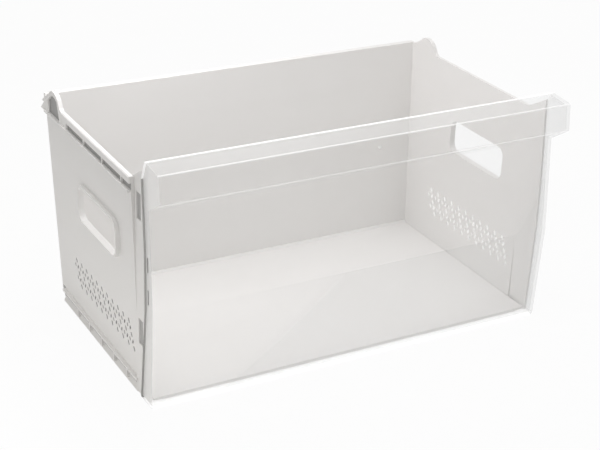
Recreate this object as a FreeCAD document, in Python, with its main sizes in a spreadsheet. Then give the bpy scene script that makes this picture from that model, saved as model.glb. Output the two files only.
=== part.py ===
import FreeCAD, Part
import Sketcher
import math
import os

# Freezer drawer: a tub of moulded panels behind a clear, bent front with a full-width handle.
# Millimetres. X runs to the right, Y to the back, Z up. The origin lies on the surface that the
# drawer rests on, under the middle of its outline.

# Clear front
panel_width = 430
panel_height = 243
crease_height = 100
crease_reach = 9
foot_reach = 3
clear_wall = 2.2
return_top = 10.5
return_middle = 6.7
return_crease = 7.3
return_foot = 20
return_bend = 18.8
snap_length = 15
snap_depth = 0.9
snap_width = 2
low_snap = 104
high_snap = 136
corner_round = 3
fit_gap = 0.3

# Handle: the upper part of the clear front, bent forward over its full width
handle_reach = 25.5
handle_face = 27
handle_dip = 2.5
handle_rake = 2.5
handle_drop = 46
top_lip = 2.5
handle_round = 1.2

# Tub
tub_depth = 252
rim_below_top = 25
tub_wall = 2.2
side_draft = 4.6
floor_level = 6
floor_wall = 2.6
rear_lean = 14
rear_wall = 2.2

# Rails on the outside of the side panels
flush_gap = 0.5
rim_reach = 2.1
rim_round = 1
rim_drop = 6.5
ledge_reach = 3.5
rail_wall = 2
rail_gap = 10.8
low_rail_top = 13.5
low_rail_reach = 3.6
skirt_reach = 2.4
skirt_height = 5
foot_width = 9
foot_wall = 2.2
gusset_wall = 2
gusset_pitch = 46.7
gusset_count = 3
low_gusset_pitch = 32.5
low_gusset_count = 5
low_rail_end = 231
corner_cut_depth = 8
corner_cut_height = 9
low_gusset_start = 24
cut_spare = 1
rear_rim = 4.8
rear_rim_drop = 4

# Ear at the rear of each rim
ear_length = 47
ear_height = 14
ear_cap = 5
ear_front_wall = 4
block_length = 50

# Hand openings in the side panels
grip_length = 96
grip_height = 36
grip_middle = 116
grip_drop = 77
grip_round = 10
collar_reach = 2.6
collar_wall = 2.2

# Air slots in the side panels
vent_columns = 11
vent_pitch = 13.7
vent_row = 6.3
vent_shift = 2.6
vent_low_row = 39.5
vent_rear = 190
vent_width = 3
vent_rise = 1.3
vent_run = 0.6
small_vent = 0.8

# Posts at the front of the side panels, and the sill between them
post_rear = 32
post_top_setback = 6
post_middle_setback = 2
post_crease_setback = 1
post_foot_setback = 5
post_rise = 17
post_bend = 55
post_overlap = 3
window_height = 26
window_width = 10
window_depth = 1.2
window_setback = 18
upper_window_drop = 38
lower_window = 54
sill_depth = 46

# Hooks behind the rear corners
hook_reach = 10.3
hook_height = 22
hook_root = 11
hook_notch = 9.2
hook_tooth = 6.2

document = FreeCAD.newDocument("freezer_drawer")
sheet = document.addObject("Spreadsheet::Sheet", "Sizes")
cells = []


class Size:
    """A length that knows its number and the sheet formula that gives it."""

    def __init__(self, value, text):
        self.value = value
        self.text = text

    def __add__(self, other):
        other = as_size(other)
        return Size(self.value + other.value, f"({self.text} + {other.text})")

    def __sub__(self, other):
        other = as_size(other)
        return Size(self.value - other.value, f"({self.text} - {other.text})")

    def __mul__(self, other):
        other = as_size(other)
        return Size(self.value * other.value, f"({self.text} * {other.text})")

    def __truediv__(self, other):
        other = as_size(other)
        return Size(self.value / other.value, f"({self.text} / {other.text})")

    def __neg__(self):
        return Size(-self.value, f"(0 - {self.text})")

    __radd__ = __add__
    __rmul__ = __mul__

    def __rsub__(self, other):
        return as_size(other) - self


def as_size(value):
    if isinstance(value, Size):
        return value
    return Size(float(value), f"({value})" if value < 0 else f"{value}")


def driving(name, value):
    """Put one driving dimension into the sheet under its own name."""
    cells.append(name)
    sheet.set(f"A{len(cells)}", name)
    sheet.set(f"B{len(cells)}", str(value))
    sheet.setAlias(f"B{len(cells)}", name)
    return Size(float(value), f"Sizes.{name}")


# Every size named above goes into the sheet, and its name then stands for its cell
for size_name, size_value in list(globals().items()):
    if isinstance(size_value, (int, float)) and not size_name.startswith("_"):
        globals()[size_name] = driving(size_name, size_value)
document.recompute()

# Places worked out from the driving dimensions
panel_half = panel_width / 2
frame_half = panel_half - clear_wall - fit_gap
post_inner = frame_half - tub_wall
outer_half = panel_half + flush_gap
inner_half = outer_half - tub_wall
rim_height = panel_height - rim_below_top
handle_root = panel_height - handle_drop
upper_window = rim_height - upper_window_drop
grip_level = rim_height - grip_drop
front_reach = handle_reach + handle_rake
face = front_reach - (front_reach + tub_depth + rear_wall + hook_reach) / 2
rim_half = outer_half + rim_reach
rim_edge = rim_height - rim_drop
ledge_half = outer_half + ledge_reach
floor_half = inner_half - side_draft
low_outer = floor_half + tub_wall
foot_low = floor_level - floor_wall - foot_wall
floor_low = floor_level - floor_wall
rim_low = rim_height - rail_wall
ledge_top = rim_low - rail_gap
ledge_low = ledge_top - rail_wall
rear_top = face + tub_depth
rear_foot = rear_top - rear_lean
lean_slope = rear_lean / (rim_height - floor_level)
side_front = face + post_rear
sill_top = clear_wall + fit_gap


def rear_at(level):
    """Y of the rear panel's inner face at a height."""
    return rear_top - (rim_height - level) * lean_slope


def front_at(level):
    """Y of the clear front's outer face at a height."""
    level = as_size(level)
    if level.value >= crease_height.value:
        share = (panel_height - level) / (panel_height - crease_height)
        return face - crease_reach * share
    share = (crease_height - level) / crease_height
    return face - crease_reach + (crease_reach - foot_reach) * share


def new_body(name):
    body = document.addObject("PartDesign::Body", name)
    body.Label = name
    document.recompute()
    return body


def plane_of(body, role):
    for feature in body.Origin.OriginFeatures:
        if feature.Role == role:
            return feature
    raise RuntimeError("no plane " + role)


def outline(body, name, role, offset, loops):
    """Sketch of closed outlines whose every corner is held by two bound dimensions."""
    sketch = body.newObject("Sketcher::SketchObject", name)
    sketch.AttachmentSupport = (plane_of(body, role), [""])
    sketch.MapMode = "FlatFace"
    for loop in loops:
        corners = [(as_size(a), as_size(b)) for a, b in loop]
        first = sketch.GeometryCount
        count = len(corners)
        for index in range(count):
            here = corners[index]
            there = corners[(index + 1) % count]
            start = FreeCAD.Vector(here[0].value, here[1].value, 0)
            end = FreeCAD.Vector(there[0].value, there[1].value, 0)
            sketch.addGeometry(Part.LineSegment(start, end), False)
        for index in range(count):
            following = first + (index + 1) % count
            sketch.addConstraint(Sketcher.Constraint("Coincident", first + index, 2, following, 1))
        for index, (across, up) in enumerate(corners):
            for kind, size in (("DistanceX", across), ("DistanceY", up)):
                rule = Sketcher.Constraint(kind, -1, 1, first + index, 1, size.value)
                number = sketch.addConstraint(rule)
                sketch.setExpression(f"Constraints[{number}]", size.text)
    sketch.setExpression("AttachmentOffset.Base.z", as_size(offset).text)
    sketch.Visibility = False
    return sketch


def rounded_outline(body, name, role, offset, corners, radius):
    """Sketch of a rectangle with round corners, from its lower left and upper right corners."""
    sketch = body.newObject("Sketcher::SketchObject", name)
    sketch.AttachmentSupport = (plane_of(body, role), [""])
    sketch.MapMode = "FlatFace"
    left, low, right, high = corners
    lines = [
        ((left + radius, low), (right - radius, low)),
        ((right, low + radius), (right, high - radius)),
        ((right - radius, high), (left + radius, high)),
        ((left, high - radius), (left, low + radius)),
    ]
    centres = [
        (right - radius, low + radius),
        (right - radius, high - radius),
        (left + radius, high - radius),
        (left + radius, low + radius),
    ]
    for start, end in lines:
        first_point = FreeCAD.Vector(start[0].value, start[1].value, 0)
        last_point = FreeCAD.Vector(end[0].value, end[1].value, 0)
        sketch.addGeometry(Part.LineSegment(first_point, last_point), False)
    for turn, centre in enumerate(centres):
        middle = FreeCAD.Vector(centre[0].value, centre[1].value, 0)
        circle = Part.Circle(middle, FreeCAD.Vector(0, 0, 1), radius.value)
        quarter = math.pi / 2
        sketch.addGeometry(Part.ArcOfCircle(circle, (turn - 1) * quarter, turn * quarter), False)
    for index, line in enumerate(lines):
        for point in (1, 2):
            for kind, size in (("DistanceX", line[point - 1][0]), ("DistanceY", line[point - 1][1])):
                number = sketch.addConstraint(Sketcher.Constraint(kind, -1, 1, index, point, size.value))
                sketch.setExpression(f"Constraints[{number}]", size.text)
        arc = index + len(lines)
        following = (index + 1) % len(lines)
        sketch.addConstraint(Sketcher.Constraint("Coincident", arc, 1, index, 2))
        sketch.addConstraint(Sketcher.Constraint("Coincident", arc, 2, following, 1))
        across = centres[index][0]
        number = sketch.addConstraint(Sketcher.Constraint("DistanceX", -1, 1, arc, 3, across.value))
        sketch.setExpression(f"Constraints[{number}]", across.text)
    sketch.setExpression("AttachmentOffset.Base.z", as_size(offset).text)
    sketch.Visibility = False
    return sketch


def finish(feature):
    """Work the feature out and stop if it could not be made."""
    document.recompute()
    if "Invalid" in feature.State or "Touched" in feature.State:
        raise RuntimeError(feature.Name + " failed")
    return feature


def pad(body, name, sketch, length, reverse=False):
    feature = body.newObject("PartDesign::Pad", name)
    feature.Profile = sketch
    feature.setExpression("Length", as_size(length).text)
    feature.Reversed = reverse
    return finish(feature)


def pocket(body, name, sketch, length):
    before = body.Shape.Volume
    feature = body.newObject("PartDesign::Pocket", name)
    feature.Profile = sketch
    feature.setExpression("Length", as_size(length).text)
    finish(feature)
    if not body.Shape.Volume < before:
        raise RuntimeError(name + " removes nothing")
    return feature


def repeat(body, name, feature, role, length, count):
    pattern = body.newObject("PartDesign::LinearPattern", name)
    pattern.Originals = [feature]
    pattern.Direction = (plane_of(body, role), [""])
    pattern.Reversed = True
    pattern.setExpression("Length", as_size(length).text)
    pattern.setExpression("Occurrences", as_size(count).text)
    body.Tip = pattern
    return finish(pattern)


def round_edges(body, name, radius, wanted):
    """Fillet every edge of the body that the test picks."""
    base = body.Tip
    names = [f"Edge{i + 1}" for i, edge in enumerate(base.Shape.Edges) if wanted(edge)]
    if not names:
        raise RuntimeError(name + " finds no edge")
    feature = body.newObject("PartDesign::Fillet", name)
    feature.Base = (base, names)
    feature.setExpression("Radius", as_size(radius).text)
    return finish(feature)


def along(edge, axis):
    """True for a straight edge that runs along an axis."""
    if not isinstance(edge.Curve, Part.Line):
        return False
    direction = edge.Curve.Direction
    return abs(abs(getattr(direction, axis)) - 1) < 1e-6


def near(value, size, reach=0.05):
    return abs(value - size.value) < reach


def box_loop(left, low, right, high):
    return [(left, low), (right, low), (right, high), (left, high)]


# On the XZ plane a sketch looks along +Y, and its offset counts towards the front.
# On the YZ plane its offset counts towards the right.


def floor_panel():
    """Flat floor that lies on the inward feet of the side panels, with a sill under its front."""
    body = new_body("floor_panel")
    half = floor_half - fit_gap
    front = face + post_foot_setback
    rear = rear_at(floor_level)
    plate = outline(body, "floor_plate_outline", "XY_Plane", floor_low, [box_loop(-half, front, half, rear)])
    pad(body, "floor_plate", plate, floor_wall)
    bead_rear = rear + rail_wall * lean_slope
    bead = outline(body, "rear_bead_outline", "YZ_Plane", -half,
                   [[(rear - rail_wall * 2, floor_level), (rear, floor_level),
                     (bead_rear, floor_level + rail_wall), (bead_rear - rail_wall, floor_level + rail_wall)]])
    pad(body, "rear_bead", bead, half * 2)
    sill_half = floor_half - foot_width - fit_gap
    step = face + return_foot + fit_gap
    sill = outline(body, "sill_outline", "YZ_Plane", -sill_half,
                   [[(front, sill_top), (step, sill_top), (step, 0), (front + sill_depth, 0),
                     (front + sill_depth, floor_low + floor_wall / 2), (front, floor_low + floor_wall / 2)]])
    pad(body, "sill", sill, sill_half * 2)
    return body


def side_profile(sign):
    """Cross-section of a side panel with its rim, rails, skirt and inward foot."""
    low_rail_low = low_rail_top - rail_wall
    corners = [
        (floor_half - foot_width, foot_low),
        (floor_half, foot_low),
        (low_outer + skirt_reach - tub_wall, 0),
        (low_outer + skirt_reach, 0),
        (low_outer, skirt_height),
        (low_outer, low_rail_low),
        (low_outer + low_rail_reach, low_rail_low),
        (low_outer + low_rail_reach, low_rail_top),
        (low_outer, low_rail_top),
        (outer_half, ledge_low),
        (ledge_half, ledge_low),
        (ledge_half, ledge_top),
        (outer_half, ledge_top),
        (outer_half, rim_low),
        (rim_half - rail_wall, rim_low),
        (rim_half - rail_wall, rim_edge),
        (rim_half, rim_edge),
        (rim_half, rim_height - rim_round),
        (rim_half - rim_round, rim_height),
        (inner_half, rim_height),
        (floor_half, floor_low),
        (floor_half - foot_width, floor_low),
    ]
    return [(across * sign, up) for across, up in corners]


# How the ear rises and falls, as shares of its length from the front and of its height
EAR_SHAPE = [(0, 0), (0.07, 0.18), (0.16, 0.62), (0.23, 0.83), (0.33, 0.96), (0.45, 1),
             (0.55, 0.93), (0.65, 0.73), (0.78, 0.38), (0.88, 0.2), (1, 0.14)]


def ear_line(drop):
    start = rear_top - ear_length
    return [(start + ear_length * share, rim_height + ear_height * rise - drop) for share, rise in EAR_SHAPE]


def between(sign, low, high):
    """Left-hand X of a band between two distances from the middle, and its width."""
    if sign > 0:
        return low, high - low
    return -high, high - low


def slot_loop(middle, level, lean, share):
    """Slot with pointed ends whose top leans back (1) or forward (-1)."""
    half = vent_width / 2 * share
    rise = vent_rise * share
    run = vent_run * share * lean
    return [
        (middle + run - half, level + rise),
        (middle - run - half, level - rise),
        (middle - run, level - rise - half),
        (middle - run + half, level - rise),
        (middle + run + half, level + rise),
        (middle + run, level + rise + half),
    ]


def vent_cell():
    """One column of the air slots: each row down lies a little further forward."""
    whole = as_size(1)
    loops = []
    for row in range(5):
        middle = face + vent_rear - vent_shift * row - vent_pitch * (vent_columns - 1)
        level = vent_low_row + vent_row * (4 - row)
        if row % 2:
            loops.append(slot_loop(middle, level, -1, whole))
            loops.append(slot_loop(middle + vent_pitch / 2, level, 1, small_vent))
        else:
            loops.append(slot_loop(middle, level, 1, whole))
    return loops


def side_panel(name, sign):
    body = new_body(name)
    run_length = rear_top + rear_wall - side_front
    profile = outline(body, name + "_profile", "XZ_Plane", -side_front, [side_profile(sign)])
    pad(body, name + "_wall", profile, run_length, True)

    # Rear edge leans with the rear panel, and the lower rear corner is cut away
    cut_left, cut_length = between(sign, floor_half - foot_width - cut_spare, ledge_half + cut_spare)
    over = rear_top + rear_wall * 2
    above = rim_height + cut_spare
    lean = [
        (rear_at(above), above),
        (rear_at(corner_cut_height), corner_cut_height),
        (rear_at(corner_cut_height) - corner_cut_depth, -cut_spare),
        (over, -cut_spare),
        (over, above),
    ]
    rear_cut = outline(body, name + "_rear_cut_outline", "YZ_Plane", cut_left + cut_length, [lean])
    pocket(body, name + "_rear_cut", rear_cut, cut_length)

    # The rim stops inside the ear, a hump of the same width that is hollow from outside
    flange_left, flange_width = between(sign, outer_half, ledge_half + cut_spare)
    start = rear_top - ear_length
    room = box_loop(start + ear_front_wall / 2, ledge_top, over, above)
    ear_room = outline(body, name + "_ear_room_outline", "YZ_Plane", flange_left + flange_width, [room])
    pocket(body, name + "_ear_room", ear_room, flange_width)
    ear_loop = ear_line(as_size(0)) + [(rear_at(ledge_top), ledge_top), (start, ledge_top)]
    ear = outline(body, name + "_ear_outline", "YZ_Plane", inner_half * sign, [ear_loop])
    pad(body, name + "_ear", ear, tub_wall + rim_reach, sign < 0)
    under = ear_line(ear_cap)[3:9]
    under_rear = under[-1][0]
    hollow = outline(body, name + "_ear_hollow_outline", "YZ_Plane", flange_left + flange_width,
                     [[(start + ear_front_wall, ledge_top), *under, (under_rear, ledge_top)]])
    pocket(body, name + "_ear_hollow", hollow, flange_width)

    # Solid block under the rim's rear end, and gussets along the rest of the rail
    bite = tub_wall / 2
    block_front = rear_top - hook_root - block_length
    first = block_front - gusset_pitch * gusset_count
    web = [(outer_half - bite, ledge_top - bite), (rim_half - fit_gap, ledge_top - bite),
           (rim_half - fit_gap, rim_edge + bite), (rim_half - rail_wall / 2, rim_low + bite),
           (outer_half - bite, rim_low + bite)]
    web = [(across * sign, up) for across, up in web]
    block = outline(body, name + "_rail_block_outline", "XZ_Plane", -block_front, [web])
    pad(body, name + "_rail_block", block, start + ear_front_wall - block_front, True)
    gusset = outline(body, name + "_gusset_outline", "XZ_Plane", -first, [web])
    gusset_pad = pad(body, name + "_gusset", gusset, gusset_wall, True)
    repeat(body, name + "_gussets", gusset_pad, "XZ_Plane", gusset_pitch * (gusset_count - 1), gusset_count)
    low_left, low_width = between(sign, low_outer - bite, low_outer + low_rail_reach - fit_gap)
    low_first = side_front + low_gusset_start
    low = outline(body, name + "_low_gusset_outline", "YZ_Plane", low_left,
                  [box_loop(low_first, skirt_height / 2, low_first + gusset_wall, low_rail_top - bite)])
    low_pad = pad(body, name + "_low_gusset", low, low_width)
    repeat(body, name + "_low_gussets", low_pad, "XZ_Plane", low_gusset_pitch * (low_gusset_count - 1), low_gusset_count)

    end_left, end_width = between(sign, low_outer, ledge_half)
    rail_end = outline(body, name + "_low_rail_end_outline", "YZ_Plane", end_left + end_width,
                       [box_loop(face + low_rail_end, -cut_spare, over, low_rail_top + bite)])
    pocket(body, name + "_low_rail_end", rail_end, end_width)

    # Hand opening with its outward collar
    grip_front = face + grip_middle - grip_length / 2
    grip_low = grip_level - grip_height / 2
    grip_rear = grip_front + grip_length
    grip_top = grip_low + grip_height
    collar_left, collar_width = between(sign, low_outer - tub_wall / 2 + side_draft / 2, outer_half + collar_reach)
    rim = (grip_front - collar_wall, grip_low - collar_wall, grip_rear + collar_wall, grip_top + collar_wall)
    collar = rounded_outline(body, name + "_collar_outline", "YZ_Plane", collar_left, rim, grip_round + collar_wall)
    pad(body, name + "_collar", collar, collar_width)
    hole_left, hole_width = between(sign, floor_half - cut_spare, outer_half + collar_reach + cut_spare)
    mouth = (grip_front, grip_low, grip_rear, grip_top)
    hole = rounded_outline(body, name + "_hand_opening_outline", "YZ_Plane", hole_left + hole_width, mouth, grip_round)
    pocket(body, name + "_hand_opening", hole, hole_width)

    # Post at the front, which the clear front slips over and clips into
    post_left, post_width = between(sign, post_inner, frame_half)
    step = face + return_foot + fit_gap
    post_loop = [
        (face + post_top_setback, rim_height + post_rise),
        (side_front + post_overlap, rim_height),
        (side_front + post_overlap, 0),
        (step, 0),
        (step, sill_top),
        (face + post_foot_setback, sill_top),
        (face + post_crease_setback, crease_height),
        (face + post_middle_setback, crease_height + post_bend),
    ]
    post = outline(body, name + "_post_outline", "YZ_Plane", post_left, [post_loop])
    pad(body, name + "_post", post, post_width)
    shoulder = [(floor_half + bite, foot_low + bite), (frame_half - bite, foot_low + bite),
                (inner_half + bite, rim_low + bite), (post_inner + bite, rim_low + bite)]
    shoulder = [(across * sign, up) for across, up in shoulder]
    step_web = outline(body, name + "_shoulder_outline", "XZ_Plane", -(side_front + fit_gap), [shoulder])
    pad(body, name + "_shoulder", step_web, post_overlap - fit_gap * 2, True)
    near_end = face + window_setback
    windows = [box_loop(near_end, low, near_end + window_width, low + window_height)
               for low in (lower_window, upper_window)]
    snap_front = face + post_middle_setback + fit_gap * 2
    grooves = [box_loop(snap_front, low, snap_front + snap_width + fit_gap * 2, low + snap_length + fit_gap * 2)
               for low in (low_snap, high_snap)]
    recess_left, recess_width = between(sign, frame_half - window_depth, outer_half + collar_reach)
    recesses = outline(body, name + "_recess_outline", "YZ_Plane", recess_left + recess_width, windows + grooves)
    pocket(body, name + "_recesses", recesses, recess_width)

    # Upright rib and two-toothed hook behind the rear corner
    hook_foot = ledge_low
    hook_top = hook_foot + hook_height
    back = rear_top + rear_wall
    hook_loop = [
        (rear_top - hook_root, hook_foot),
        (back + hook_reach, hook_foot),
        (back, hook_foot + hook_notch),
        (back + hook_tooth, hook_foot + hook_notch),
        (rear_top - hook_root, hook_top),
    ]
    hook_left, hook_width = between(sign, outer_half + fit_gap, rim_half - fit_gap)
    hook = outline(body, name + "_hook_outline", "YZ_Plane", hook_left, [hook_loop])
    pad(body, name + "_hook", hook, hook_width)

    # Air slots
    slot_left, slot_width = between(sign, floor_half - tub_wall, outer_half + tub_wall)
    slots = outline(body, name + "_slot_outline", "YZ_Plane", slot_left + slot_width, vent_cell())
    slot_cut = pocket(body, name + "_slot_column", slots, slot_width)
    repeat(body, name + "_slots", slot_cut, "XZ_Plane", vent_pitch * (vent_columns - 1), vent_columns)
    return body


def rear_panel():
    """Leaning back wall with a thicker top edge, held against the side panels' rear edges."""
    body = new_body("rear_panel")
    top = rim_height + ear_height * EAR_SHAPE[-1][1]
    bead = top - rear_rim_drop
    loop = [
        (rear_at(foot_low), foot_low),
        (rear_at(foot_low) + rear_wall, foot_low),
        (rear_at(bead) + rear_wall, bead),
        (rear_at(bead) + rear_wall + rear_rim, bead),
        (rear_at(top) + rear_wall + rear_rim, top),
        (rear_at(top), top),
    ]
    sketch = outline(body, "rear_panel_outline", "YZ_Plane", -outer_half, [loop])
    pad(body, "rear_wall_plate", sketch, outer_half * 2)
    under = foot_low - rail_wall
    beyond = outer_half + rail_wall
    wedge = [
        (outer_half, ledge_low),
        (low_outer, low_rail_top),
        (low_outer, foot_low + corner_cut_height),
        (low_outer - corner_cut_depth, under),
        (beyond, under),
        (beyond, ledge_low),
    ]
    mirrored = [(-across, up) for across, up in wedge]
    ahead = rear_foot - rear_lean
    wedges = outline(body, "rear_panel_side_outline", "XZ_Plane", -ahead, [wedge, mirrored])
    pocket(body, "rear_panel_sides", wedges, rear_top - ahead + hook_reach)
    return body


def clear_front():
    """Clear pane bent forward into a handle, with a return wall round its sides and foot."""
    body = new_body("clear_front")
    lip_top = panel_height - handle_dip
    lip_low = lip_top - handle_face
    brow = face - handle_reach
    chin = brow - handle_rake
    bend = panel_height - return_bend
    outside = [
        (front_at(0), 0),
        (front_at(crease_height), crease_height),
        (front_at(handle_root), handle_root),
        (chin, lip_low),
        (brow, lip_top),
        (face, panel_height),
        (face + top_lip, panel_height),
        (face + return_top, bend),
        (face + return_middle, crease_height + post_bend),
        (face + return_crease, crease_height),
        (face + return_foot, 0),
    ]
    block = outline(body, "clear_block_outline", "YZ_Plane", -panel_half, [outside])
    pad(body, "clear_block", block, panel_half * 2)
    round_edges(body, "lower_corners", corner_round,
                lambda edge: along(edge, "y") and abs(edge.CenterOfMass.z) < 0.01)
    round_edges(body, "handle_edges", handle_round,
                lambda edge: along(edge, "x") and edge.CenterOfMass.y < (brow + clear_wall).value)
    inside = panel_half - clear_wall
    far = face + return_foot * 2
    room_outline = [
        (front_at(clear_wall) + clear_wall, clear_wall),
        (front_at(crease_height) + clear_wall, crease_height),
        (front_at(handle_root) + clear_wall, handle_root + clear_wall / 2),
        (chin + clear_wall, lip_low + clear_wall / 2),
        (brow + clear_wall, lip_top - clear_wall),
        (face, panel_height - clear_wall),
        (far, panel_height - clear_wall),
        (far, clear_wall),
    ]
    room = outline(body, "clear_room_outline", "YZ_Plane", inside, [room_outline])
    pocket(body, "clear_room", room, inside * 2)

    # Snap bumps on the return walls, which sit in the grooves of the posts
    snap_front = face + post_middle_setback + fit_gap * 3
    bumps = [box_loop(snap_front, low + fit_gap, snap_front + snap_width, low + fit_gap + snap_length)
             for low in (low_snap, high_snap)]
    for sign, side in ((-1, "left"), (1, "right")):
        bump_left, bump_width = between(sign, frame_half - snap_depth, panel_half - clear_wall / 2)
        bump = outline(body, side + "_snap_outline", "YZ_Plane", bump_left, bumps)
        pad(body, side + "_snaps", bump, bump_width)
    return body


bodies = [
    floor_panel(),
    side_panel("left_side_panel", -1),
    side_panel("right_side_panel", 1),
    rear_panel(),
    clear_front(),
]

document.recompute()
for item in document.Objects:
    if "Invalid" in item.State or "Error" in item.State:
        raise RuntimeError("failed object: " + item.Label)
for body in bodies:
    if body.Shape.isNull() or not body.Shape.isValid():
        raise RuntimeError("bad shape: " + body.Label)

os.makedirs("parts", exist_ok=True)
for body in bodies:
    body.Shape.exportStep("parts/" + body.Label + ".step")
    bounds = body.Shape.BoundBox
    print(body.Label, len(body.Shape.Solids), "solid", round(body.Shape.Volume), "mm3",
          [round(v, 1) for v in (bounds.XMin, bounds.XMax, bounds.YMin, bounds.YMax, bounds.ZMin, bounds.ZMax)])
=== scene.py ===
# %% [markdown]
# # A freezer drawer
# The drawer is a tub of five moulded plastic panels: two sides, a back, a floor and a clear front
# that bends out into a handle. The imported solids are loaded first, because every piece here takes
# its place and its size from them.

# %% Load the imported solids
import bpy
import bmesh
import math
from mathutils import Matrix, Vector
from mathutils.bvhtree import BVHTree


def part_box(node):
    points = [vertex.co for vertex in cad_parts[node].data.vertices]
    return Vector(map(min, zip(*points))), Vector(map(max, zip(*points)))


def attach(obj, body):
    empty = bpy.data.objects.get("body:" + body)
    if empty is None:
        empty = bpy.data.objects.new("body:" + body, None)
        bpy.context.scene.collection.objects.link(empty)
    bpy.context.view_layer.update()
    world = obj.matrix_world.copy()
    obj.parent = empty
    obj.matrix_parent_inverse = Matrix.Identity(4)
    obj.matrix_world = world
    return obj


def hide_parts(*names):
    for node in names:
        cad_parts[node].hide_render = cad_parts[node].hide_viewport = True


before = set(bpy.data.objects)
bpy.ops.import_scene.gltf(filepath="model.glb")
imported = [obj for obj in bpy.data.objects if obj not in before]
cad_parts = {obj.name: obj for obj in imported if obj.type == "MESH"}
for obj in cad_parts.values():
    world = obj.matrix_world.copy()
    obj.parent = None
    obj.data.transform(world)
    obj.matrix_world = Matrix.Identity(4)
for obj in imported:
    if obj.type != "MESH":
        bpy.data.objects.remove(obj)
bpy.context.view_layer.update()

# %% [markdown]
# ## Shader maths in plain Python
# A node tree is easier to read as sums than as a list of links. `Wire` wraps one socket, so that
# `1 - mask` or `grain * 0.02` adds the Math node by itself. `Finish` opens the node tree of a new
# material, or of the world, and its method `node` takes a node's type, its settings, and the
# values or wires of its sockets. A socket that has no name of its own goes by its number, as i0.

# %% Wires and finishes
class Wire:
    """One output socket, with arithmetic."""

    def __init__(self, tree, socket):
        self.tree = tree
        self.socket = socket

    def maths(self, operation, *values):
        maths_node = self.tree.nodes.new("ShaderNodeMath")
        maths_node.operation = operation
        for number, value in enumerate(values):
            if isinstance(value, Wire):
                self.tree.links.new(value.socket, maths_node.inputs[number])
            else:
                maths_node.inputs[number].default_value = value
        return Wire(self.tree, maths_node.outputs[0])

    def __add__(self, other):
        return self.maths("ADD", self, other)

    def __radd__(self, other):
        return self.maths("ADD", other, self)

    def __sub__(self, other):
        return self.maths("SUBTRACT", self, other)

    def __rsub__(self, other):
        return self.maths("SUBTRACT", other, self)

    def __mul__(self, other):
        return self.maths("MULTIPLY", self, other)

    def __rmul__(self, other):
        return self.maths("MULTIPLY", other, self)

    def clamp(self):
        limited = self.maths("ADD", self, 0.0)
        limited.socket.node.use_clamp = True
        return limited

    def at_least(self, other):
        return self.maths("MAXIMUM", self, other)


class Finish:
    """The node tree of a material or of the world."""

    def __init__(self, name, holder=None):
        self.holder = holder or bpy.data.materials.new(name)
        self.holder.use_nodes = True
        self.tree = self.holder.node_tree
        self.tree.nodes.clear()

    def node(self, kind, settings=None, output=0, **sockets):
        made = self.tree.nodes.new("ShaderNode" + kind)
        for key, value in (settings or {}).items():
            setattr(made, key, value)
        for key, value in sockets.items():
            numbered = key[0] == "i" and key[1:].isdigit()
            place = int(key[1:]) if numbered else key.replace("_", " ")
            if isinstance(value, Wire):
                self.tree.links.new(value.socket, made.inputs[place])
            else:
                made.inputs[place].default_value = value
        return Wire(self.tree, made.outputs[output])

    def show(self, surface, end="OutputMaterial"):
        last = self.tree.nodes.new("ShaderNode" + end)
        self.tree.links.new(surface.socket, last.inputs["Surface"])
        return self.holder


# %% [markdown]
# ## The moulded plastic
# The sides, back and floor are one opaque plastic, a warm light grey. A moulded wall is never
# perfectly even: it has a fine texture from the tool's spark-eroded steel, wide soft patches
# where the plastic flowed, and a few faint streaks. The fine texture goes into the bump and the
# roughness, and the patches only shift the colour a little.

# %% Warm grey moulded plastic
def moulded_plastic(name, pale, deep, flow_axis):
    finish = Finish(name)
    place = finish.node("TexCoord", output=3)
    grain = finish.node("TexNoise", Vector=place, Scale=1400.0, Detail=2.0, Roughness=0.6)
    patches = finish.node("TexNoise", Vector=place, Scale=7.0, Detail=2.0, Roughness=0.5)
    stretch = [60.0, 60.0, 60.0]
    stretch[flow_axis] = 3.0
    along_flow = finish.node("Mapping", Vector=place, Scale=stretch)
    streaks = finish.node("TexNoise", Vector=along_flow, Scale=1.0, Detail=3.0, Roughness=0.55)
    mixed = (patches * 0.65 + streaks * 0.35 - 0.25) * 2.0
    colour = finish.node("Mix", {"data_type": "RGBA"}, output=2, i0=mixed.clamp(), i6=deep, i7=pale)
    roughness = 0.40 + grain * 0.12 + patches * 0.06
    bumps = finish.node("Bump", Height=grain, Strength=0.12, Distance=0.0002)
    surface = finish.node(
        "BsdfPrincipled", Base_Color=colour, Roughness=roughness, Normal=bumps, IOR=1.49)
    return finish.show(surface)


PALE = (0.87, 0.862, 0.85, 1.0)
DEEP = (0.845, 0.835, 0.82, 1.0)
side_plastic = moulded_plastic("side_plastic", PALE, DEEP, 1)
back_plastic = moulded_plastic("back_plastic", PALE, DEEP, 0)
print("plastics:", side_plastic.name, back_plastic.name)
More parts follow.
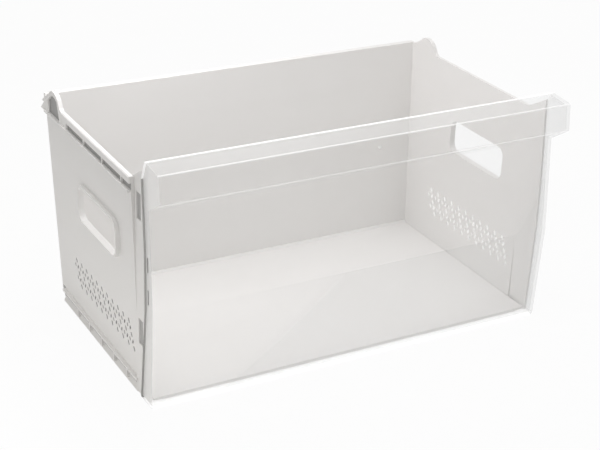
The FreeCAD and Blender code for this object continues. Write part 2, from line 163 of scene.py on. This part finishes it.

# %% [markdown]
# ## The clear plastic
# The front is a see-through styrene moulding. Its flat walls are nearly invisible from straight
# ahead and gather more of the room's light at a slant, so its opacity rises with a Fresnel curve.
# A fully refracting shell is the other way, but it draws hard dark lines round every edge and
# throws a dark shadow, which thin styrene in a white room does not. Faint flow waves and a light
# haze from handling vary the roughness, the bump and the opacity. The edge and side plastics carry a
# painted glow, a small emission in place of the light that a clear sheet gathers and lets out at
# its edges, and one darker kind paints shade along a cut edge that is seen through the sheet.

# %% Clear plastic for walls and for edges
def clear_plastic(name, least, most, tint, smooth, painted_glow_strength):
    finish = Finish(name)
    place = finish.node("TexCoord", output=3)
    waves = finish.node("TexNoise", Vector=place, Scale=6.0, Detail=1.0, Roughness=0.4)
    haze = finish.node("TexNoise", Vector=place, Scale=90.0, Detail=3.0, Roughness=0.6)
    slant = finish.node("LayerWeight", Blend=0.32)
    opacity = least + slant * (most - least) + haze * 0.02
    colour = finish.node(
        "Mix", {"data_type": "RGBA"}, output=2, i0=waves, i6=tint,
        i7=[share * 1.04 for share in tint])
    bumps = finish.node("Bump", Height=waves, Strength=0.06, Distance=0.001)
    surface = finish.node(
        "BsdfPrincipled", Base_Color=colour, Roughness=smooth + haze * 0.04, Normal=bumps,
        Alpha=opacity.clamp(), IOR=1.49, Emission_Color=(1.0, 1.0, 1.0, 1.0),
        Emission_Strength=painted_glow_strength)
    return finish.show(surface)


clear = clear_plastic("clear_plastic", 0.05, 0.24, (0.8, 0.81, 0.81, 1.0), 0.03, 0.0)
# painted glow: the edge strips and the return walls get a small emission, though they are no lamp
clear_edge_painted_glow = clear_plastic("clear_edge_painted_glow", 0.5, 0.85, (0.95, 0.95, 0.95, 1.0), 0.12, 0.28)
# painted shade: a dark grey tint and high opacity along the cut rear edge of the return walls
clear_cut_painted_shade = clear_plastic("clear_cut_painted_shade", 0.75, 0.9, (0.3, 0.3, 0.29, 1.0), 0.2, 0.0)
clear_side_painted_glow = clear_plastic("clear_side_painted_glow", 0.12, 0.5, (0.93, 0.93, 0.93, 1.0), 0.06, 0.1)
print("clear plastics:", clear.name, clear_edge_painted_glow.name, clear_cut_painted_shade.name, clear_side_painted_glow.name)

# %% [markdown]
# ## Inside slots and hollows
# A wall two millimetres thick lets some light through. In the slots on the right the white room
# behind the wall would light the plastic, so their faces get a painted glow, a pale grey with a
# little emission, and read as bright dots. The slots on the left are looked at from the lit side,
# and their faces get painted shade, a darker grey, so they read as small dark dashes. The hollows
# under the rim, in the ears, in the low rail and in the posts are shallow in the solids, so a
# darker plastic paints the shade of a deep hollow onto their inner faces.

# %% Slot and hollow plastics with painted glow and painted shade
def painted_light_plastic(name, shade, painted_glow_strength):
    finish = Finish(name)
    place = finish.node("TexCoord", output=3)
    grain = finish.node("TexNoise", Vector=place, Scale=900.0, Detail=1.0)
    colour = finish.node(
        "Mix", {"data_type": "RGBA"}, output=2, i0=grain, i6=(shade, shade, shade, 1.0),
        i7=(shade * 0.94, shade * 0.93, shade * 0.91, 1.0))
    surface = finish.node(
        "BsdfPrincipled", Base_Color=colour, Roughness=0.6, Emission_Color=(1.0, 1.0, 1.0, 1.0),
        Emission_Strength=painted_glow_strength)
    return finish.show(surface)


# painted glow in the right slots; painted shade in the left slots, the rim's channel, the ears, the low
# rail and the post recesses
slot_painted_glow = painted_light_plastic("slot_painted_glow", 0.85, 0.25)
slot_painted_shade = painted_light_plastic("slot_painted_shade", 0.5, 0.0)
rim_shade = painted_light_plastic("rim_shade", 0.4, 0.0)
recess_shade = painted_light_plastic("recess_shade", 0.45, 0.0)
print("slots:", slot_painted_glow.name, slot_painted_shade.name, "hollows:", rim_shade.name, recess_shade.name)

# %% [markdown]
# ## Softened edges
# No moulded edge is knife sharp, because plastic can't fill a sharp corner of its tool, and the
# thin line of light along each edge is what makes a wall look moulded. The imported solids come as
# loose triangles, so a copy is merged into one closed skin, its flat faces are joined up, and a
# Bevel modifier rounds each long corner by 0.4 to 1 millimetre. The short edges of the air slots
# keep their corners. On the clear front the rounded strips get the edge plastic, whose brightness is
# partly a painted glow.

# %% A softened copy of a panel
merged_within = 0.00001
flat_within = math.radians(1)
corner_from = math.radians(25)
shortest_corner = 0.008


def softened(node, materials, edge, name, choose=None, edge_slot=-1):
    shape = bmesh.new()
    shape.from_mesh(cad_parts[node].data)
    bmesh.ops.remove_doubles(shape, verts=shape.verts, dist=merged_within)
    bmesh.ops.dissolve_limit(
        shape, angle_limit=flat_within, verts=shape.verts, edges=shape.edges)
    weight = shape.edges.layers.float.new("bevel_weight_edge")
    for line in shape.edges:
        if len(line.link_faces) == 2 and line.calc_length() > shortest_corner:
            if line.calc_face_angle(0.0) > corner_from:
                line[weight] = 1.0
    if choose:
        for face in shape.faces:
            face.material_index = choose(face)
    mesh = bpy.data.meshes.new(name)
    shape.to_mesh(mesh)
    shape.free()
    for material in materials:
        mesh.materials.append(material)
    piece = bpy.data.objects.new(name, mesh)
    bpy.context.scene.collection.objects.link(piece)
    rounding = piece.modifiers.new("rounding", "BEVEL")
    rounding.width = edge
    rounding.segments = 2
    rounding.limit_method = "WEIGHT"
    rounding.use_clamp_overlap = True
    rounding.harden_normals = True
    rounding.material = edge_slot
    evaluated = piece.evaluated_get(bpy.context.evaluated_depsgraph_get())
    finished = bpy.data.meshes.new_from_object(evaluated)
    piece.modifiers.clear()
    piece.data = finished
    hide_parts(node)
    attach(piece, "root")
    print(name, "faces:", len(finished.polygons))
    return piece


print("corners from", round(math.degrees(corner_from)), "degrees and", shortest_corner, "m are rounded")

# %% [markdown]
# ## Which face gets which plastic
# A moulded panel is one material, but its slots and hollows get their own painted shade or glow.
# Painting faces by hand would be lost when the solids change, so a rule looks at each face's middle
# and at the way it points. The heights and widths are those of the drawer's own features, in metres.

# %% Rules for the faces of the sides
slots_low, slots_high, slots_reach = 0.032, 0.074, 0.09
rim_channel_in, rim_channel_out, rim_channel_low = 0.2150, 0.2158, 0.2
low_rail_low, low_rail_high, low_rail_wall = 0.005, 0.0115, 0.2125
recess_in, recess_out, recess_rear, recess_low = 0.2110, 0.2116, -0.088, 0.02


def side_parts(face):
    """1 for the air slots' painted glow or shade, 2 for painted shade in the rim's channel and the ear,
    3 for painted shade under the low rail and in the post recesses.
    """
    centre = face.calc_center_median()
    across = abs(centre.x)
    in_slots = slots_low < centre.z < slots_high and abs(centre.y) < slots_reach
    if in_slots and abs(face.normal.x) < 0.3:
        return 1
    if face.normal.x * centre.x <= 0:
        return 0
    if rim_channel_in < across < rim_channel_out and centre.z > rim_channel_low:
        return 2
    under_rail = low_rail_low < centre.z < low_rail_high and across < low_rail_wall
    in_post = recess_in < across < recess_out and centre.y < recess_rear and centre.z > recess_low
    return 3 if under_rail or in_post else 0


print("slots between", slots_low, "and", slots_high, "m high")

# %% Rules for the faces of the clear front
return_rear, handle_low, returns_high, foot_high = -0.1145, 0.23, 0.19, 0.003
strip_length, strip_width = 0.1, 0.0027


def clear_parts(face):
    """1 for painted shade on the return walls' rear edge, 2 for painted glow on narrow strips and the
    foot, 3 for the return walls, with a faint painted glow.
    """
    centre = face.calc_center_median()
    if face.normal.y > 0.8 and centre.y > return_rear:
        return 2 if centre.z > handle_low else 1
    longest = max(line.calc_length() for line in face.edges)
    narrow = longest > strip_length and face.calc_area() / longest < strip_width
    if narrow or (abs(face.normal.z) > 0.9 and centre.z < foot_high):
        return 2
    return 3 if abs(face.normal.x) > 0.9 and centre.z < returns_high else 0


print("strips narrower than", strip_width, "m count as edges")

# %% [markdown]
# ## The five panels
# Each panel is the softened copy of one imported solid. The two sides mirror each other, but they
# have different plastic inside their slots, a painted glow on the right and painted shade on the
# left. The rear panel's edges are a little rounder than the floor's, and the clear front's are the
# roundest, so that they carry a bright line, which a painted glow in their edge plastic brightens.

# %% Dress the five solids
left_plastics = [side_plastic, slot_painted_shade, rim_shade, recess_shade]
right_plastics = [side_plastic, slot_painted_glow, rim_shade, recess_shade]
clear_plastics = [clear, clear_cut_painted_shade, clear_edge_painted_glow, clear_side_painted_glow]
softened("left_side_panel", left_plastics, 0.0004, "left_side", side_parts)
softened("right_side_panel", right_plastics, 0.0004, "right_side", side_parts)
softened("floor_panel", [back_plastic], 0.0004, "floor")
softened("rear_panel", [back_plastic], 0.0006, "back_wall")
clear_pane = softened("clear_front", clear_plastics, 0.001, "clear_pane", clear_parts, 2)

# %% [markdown]
# ## Gate mark
# Plastic enters a mould through a gate, and a gate leaves a small round mark when it is cut off.
# The clear front has one in the middle of its handle, just under the upper edge. A ray sent at
# the clear pane finds the face there and its tilt. Geometry Nodes set one flat disc on each
# point, so another mark is only another point.

# %% Node tree of the marks
def marks_tree(name, tilt, material):
    tree = bpy.data.node_groups.new(name, "GeometryNodeTree")
    tree.interface.new_socket("Geometry", in_out="INPUT", socket_type="NodeSocketGeometry")
    radius = tree.interface.new_socket("Radius", in_out="INPUT", socket_type="NodeSocketFloat")
    height = tree.interface.new_socket("Height", in_out="INPUT", socket_type="NodeSocketFloat")
    tree.interface.new_socket("Geometry", in_out="OUTPUT", socket_type="NodeSocketGeometry")
    entry = tree.nodes.new("NodeGroupInput")
    disc = tree.nodes.new("GeometryNodeMeshCylinder")
    disc.inputs["Vertices"].default_value = 24
    spread = tree.nodes.new("GeometryNodeInstanceOnPoints")
    spread.inputs["Rotation"].default_value = tilt
    real = tree.nodes.new("GeometryNodeRealizeInstances")
    paint = tree.nodes.new("GeometryNodeSetMaterial")
    paint.inputs["Material"].default_value = material
    leave = tree.nodes.new("NodeGroupOutput")
    tree.links.new(entry.outputs["Radius"], disc.inputs["Radius"])
    tree.links.new(entry.outputs["Height"], disc.inputs["Depth"])
    tree.links.new(entry.outputs["Geometry"], spread.inputs["Points"])
    tree.links.new(disc.outputs["Mesh"], spread.inputs["Instance"])
    tree.links.new(spread.outputs["Instances"], real.inputs["Geometry"])
    tree.links.new(real.outputs["Geometry"], paint.inputs["Geometry"])
    tree.links.new(paint.outputs["Geometry"], leave.inputs["Geometry"])
    print(name, "tree nodes:", len(tree.nodes))
    return tree, radius.identifier, height.identifier


# %% Gate mark on the handle
def gate_marks(name, places, tilt, radius, height, material):
    tree, radius_input, height_input = marks_tree(name, tilt, material)
    points = bpy.data.meshes.new(name)
    points.from_pydata(places, [], [])
    piece = bpy.data.objects.new(name, points)
    bpy.context.scene.collection.objects.link(piece)
    maker = piece.modifiers.new("marks", "NODES")
    maker.node_group = tree
    maker[radius_input] = radius
    maker[height_input] = height
    evaluated = piece.evaluated_get(bpy.context.evaluated_depsgraph_get())
    finished = bpy.data.meshes.new_from_object(evaluated)
    piece.modifiers.clear()
    piece.data = finished
    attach(piece, "root")
    print(name, "marks:", len(places))
    return piece


mark_radius = 0.0017
mark_height = 0.0005
mark_below_top = 0.0115
mark_beside_middle = 0.001
pane_low, pane_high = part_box("clear_front")
pane = clear_pane.data
pane_faces = BVHTree.FromPolygons(
    [corner.co for corner in pane.vertices], [tuple(face.vertices) for face in pane.polygons])
before_pane = Vector((mark_beside_middle, pane_low.y - 0.1, pane_high.z - mark_below_top))
handle_mark, outward, *_ = pane_faces.ray_cast(before_pane, Vector((0.0, 1.0, 0.0)))
print("mark at", tuple(round(v, 4) for v in handle_mark))
mark_tilt = outward.to_track_quat("Z", "Y").to_euler()
# the mark takes the side plastic with its faint painted glow
gate_marks("gate_marks", [handle_mark], mark_tilt, mark_radius, mark_height, clear_side_painted_glow)

# %% [markdown]
# ## Floor and backdrop
# The drawer stands in a plain white studio. The floor and the world show white to the camera,
# and to rays that go through or bounce off the clear front, while they light the drawer at a
# plain level. The floor is matt under a share of white, so it keeps a faint shadow that seats the
# drawer.

# %% Studio floor
def seen_share(finish):
    """1 for rays from the camera, off a mirror or through clear plastic, and 0 for light."""
    from_camera = finish.node("LightPath", output=0)
    mirrored = finish.node("LightPath", output=3)
    through = finish.node("LightPath", output=6)
    return from_camera.at_least(mirrored).at_least(through)


def white_floor():
    finish = Finish("studio_floor")
    place = finish.node("TexCoord", output=3)
    grain = finish.node("TexNoise", Vector=place, Scale=40.0, Detail=2.0)
    matt = finish.node("BsdfDiffuse", Color=(0.86, 0.86, 0.86, 1.0), Roughness=0.5)
    bright = finish.node("Emission", Color=(1.0, 1.0, 1.0, 1.0), Strength=1.0)
    share = seen_share(finish) * (0.93 + grain * 0.02)
    return finish.show(finish.node("MixShader", i0=share, i1=matt, i2=bright))


reach = 12.0
below_drawer = 0.0002
floor_corners = [(-reach, -reach, 0), (reach, -reach, 0), (reach, reach, 0), (-reach, reach, 0)]
floor_mesh = bpy.data.meshes.new("studio_floor")
floor_mesh.from_pydata(floor_corners, [], [(0, 1, 2, 3)])
floor_mesh.materials.append(white_floor())
studio_floor = bpy.data.objects.new("studio_floor", floor_mesh)
bpy.context.scene.collection.objects.link(studio_floor)
studio_floor.location.z = -below_drawer
print("studio floor:", 2 * reach, "m wide")

# %% White backdrop
world = bpy.data.worlds.new("studio")
bpy.context.scene.world = world
sky = Finish("studio", world)
lighting = sky.node("Background", Color=(1.0, 0.985, 0.965, 1.0), Strength=0.5)
backdrop = sky.node("Background", Color=(1.0, 1.0, 1.0, 1.0), Strength=1.0)
sky_surface = sky.node("MixShader", i0=seen_share(sky), i1=lighting, i2=backdrop)
sky.show(sky_surface, "OutputWorld")
print("world:", world.name)

# %% [markdown]
# ## Lamps
# A large soft box above and behind lights the floor, the rims and the handle, and a second one on
# the front right lights the clear front. A small one over the inside brightens the right wall,
# and a low, flat one brightens the foot of the left wall, where a white room would throw light
# back from the ground.

# %% Soft boxes
def softbox(name, place, aim, size, power, colour):
    lamp = bpy.data.lights.new(name, "AREA")
    lamp.shape = "RECTANGLE"
    lamp.size, lamp.size_y = size
    lamp.energy = power
    lamp.color = colour
    holder = bpy.data.objects.new(name, lamp)
    bpy.context.scene.collection.objects.link(holder)
    holder.location = place
    holder.rotation_euler = (Vector(aim) - Vector(place)).to_track_quat("-Z", "Y").to_euler()
    print(name, "power:", power)


COOL = (0.98, 0.99, 1.0)
WHITE = (1.0, 1.0, 1.0)
ROSY = (1.0, 0.98, 1.0)
WARM = (1.0, 0.97, 0.92)
softbox("top_light", (0.2, 0.3, 2.2), (0.0, 0.0, 0.1), (1.6, 1.6), 10.5, COOL)
softbox("front_light", (0.8, -2.0, 1.6), (0.0, 0.0, 0.1), (1.6, 1.2), 4.5, WHITE)
softbox("inner_light", (-0.14, 0.04, 0.5), (0.21, -0.06, 0.06), (0.3, 0.3), 0.85, ROSY)
softbox("low_light", (-0.4, -0.05, 0.03), (-0.21, 0.0, 0.02), (0.5, 0.06), 0.09, WARM)

# %% [markdown]
# ## Camera
# The camera stands above and to the left of the drawer's front, turned a little about its own
# axis. Its place and lens come from fitting the drawer's straight edges to the picture.

# %% Camera
azimuth = math.radians(-29.1)
elevation = math.radians(25.1)
roll = math.radians(1.9)
camera_place = (-0.6410, -1.15505, 0.7115)
level = math.cos(elevation)
away = Vector((math.sin(azimuth) * level, -math.cos(azimuth) * level, math.sin(elevation)))
right = (-away).cross(Vector((0, 0, 1))).normalized()
up = right.cross(-away)
turned_right = math.cos(roll) * right + math.sin(roll) * up
turned_up = -math.sin(roll) * right + math.cos(roll) * up
lens = bpy.data.cameras.new("camera")
lens.sensor_width = 36.0
lens.lens = 85.98
camera = bpy.data.objects.new("camera", lens)
bpy.context.scene.collection.objects.link(camera)
turned = Matrix((turned_right, turned_up, away)).transposed().to_4x4()
camera.matrix_world = Matrix.Translation(camera_place) @ turned
bpy.context.scene.camera = camera
bpy.context.scene.view_settings.view_transform = "Standard"
print("camera at", tuple(round(v, 3) for v in camera.location))
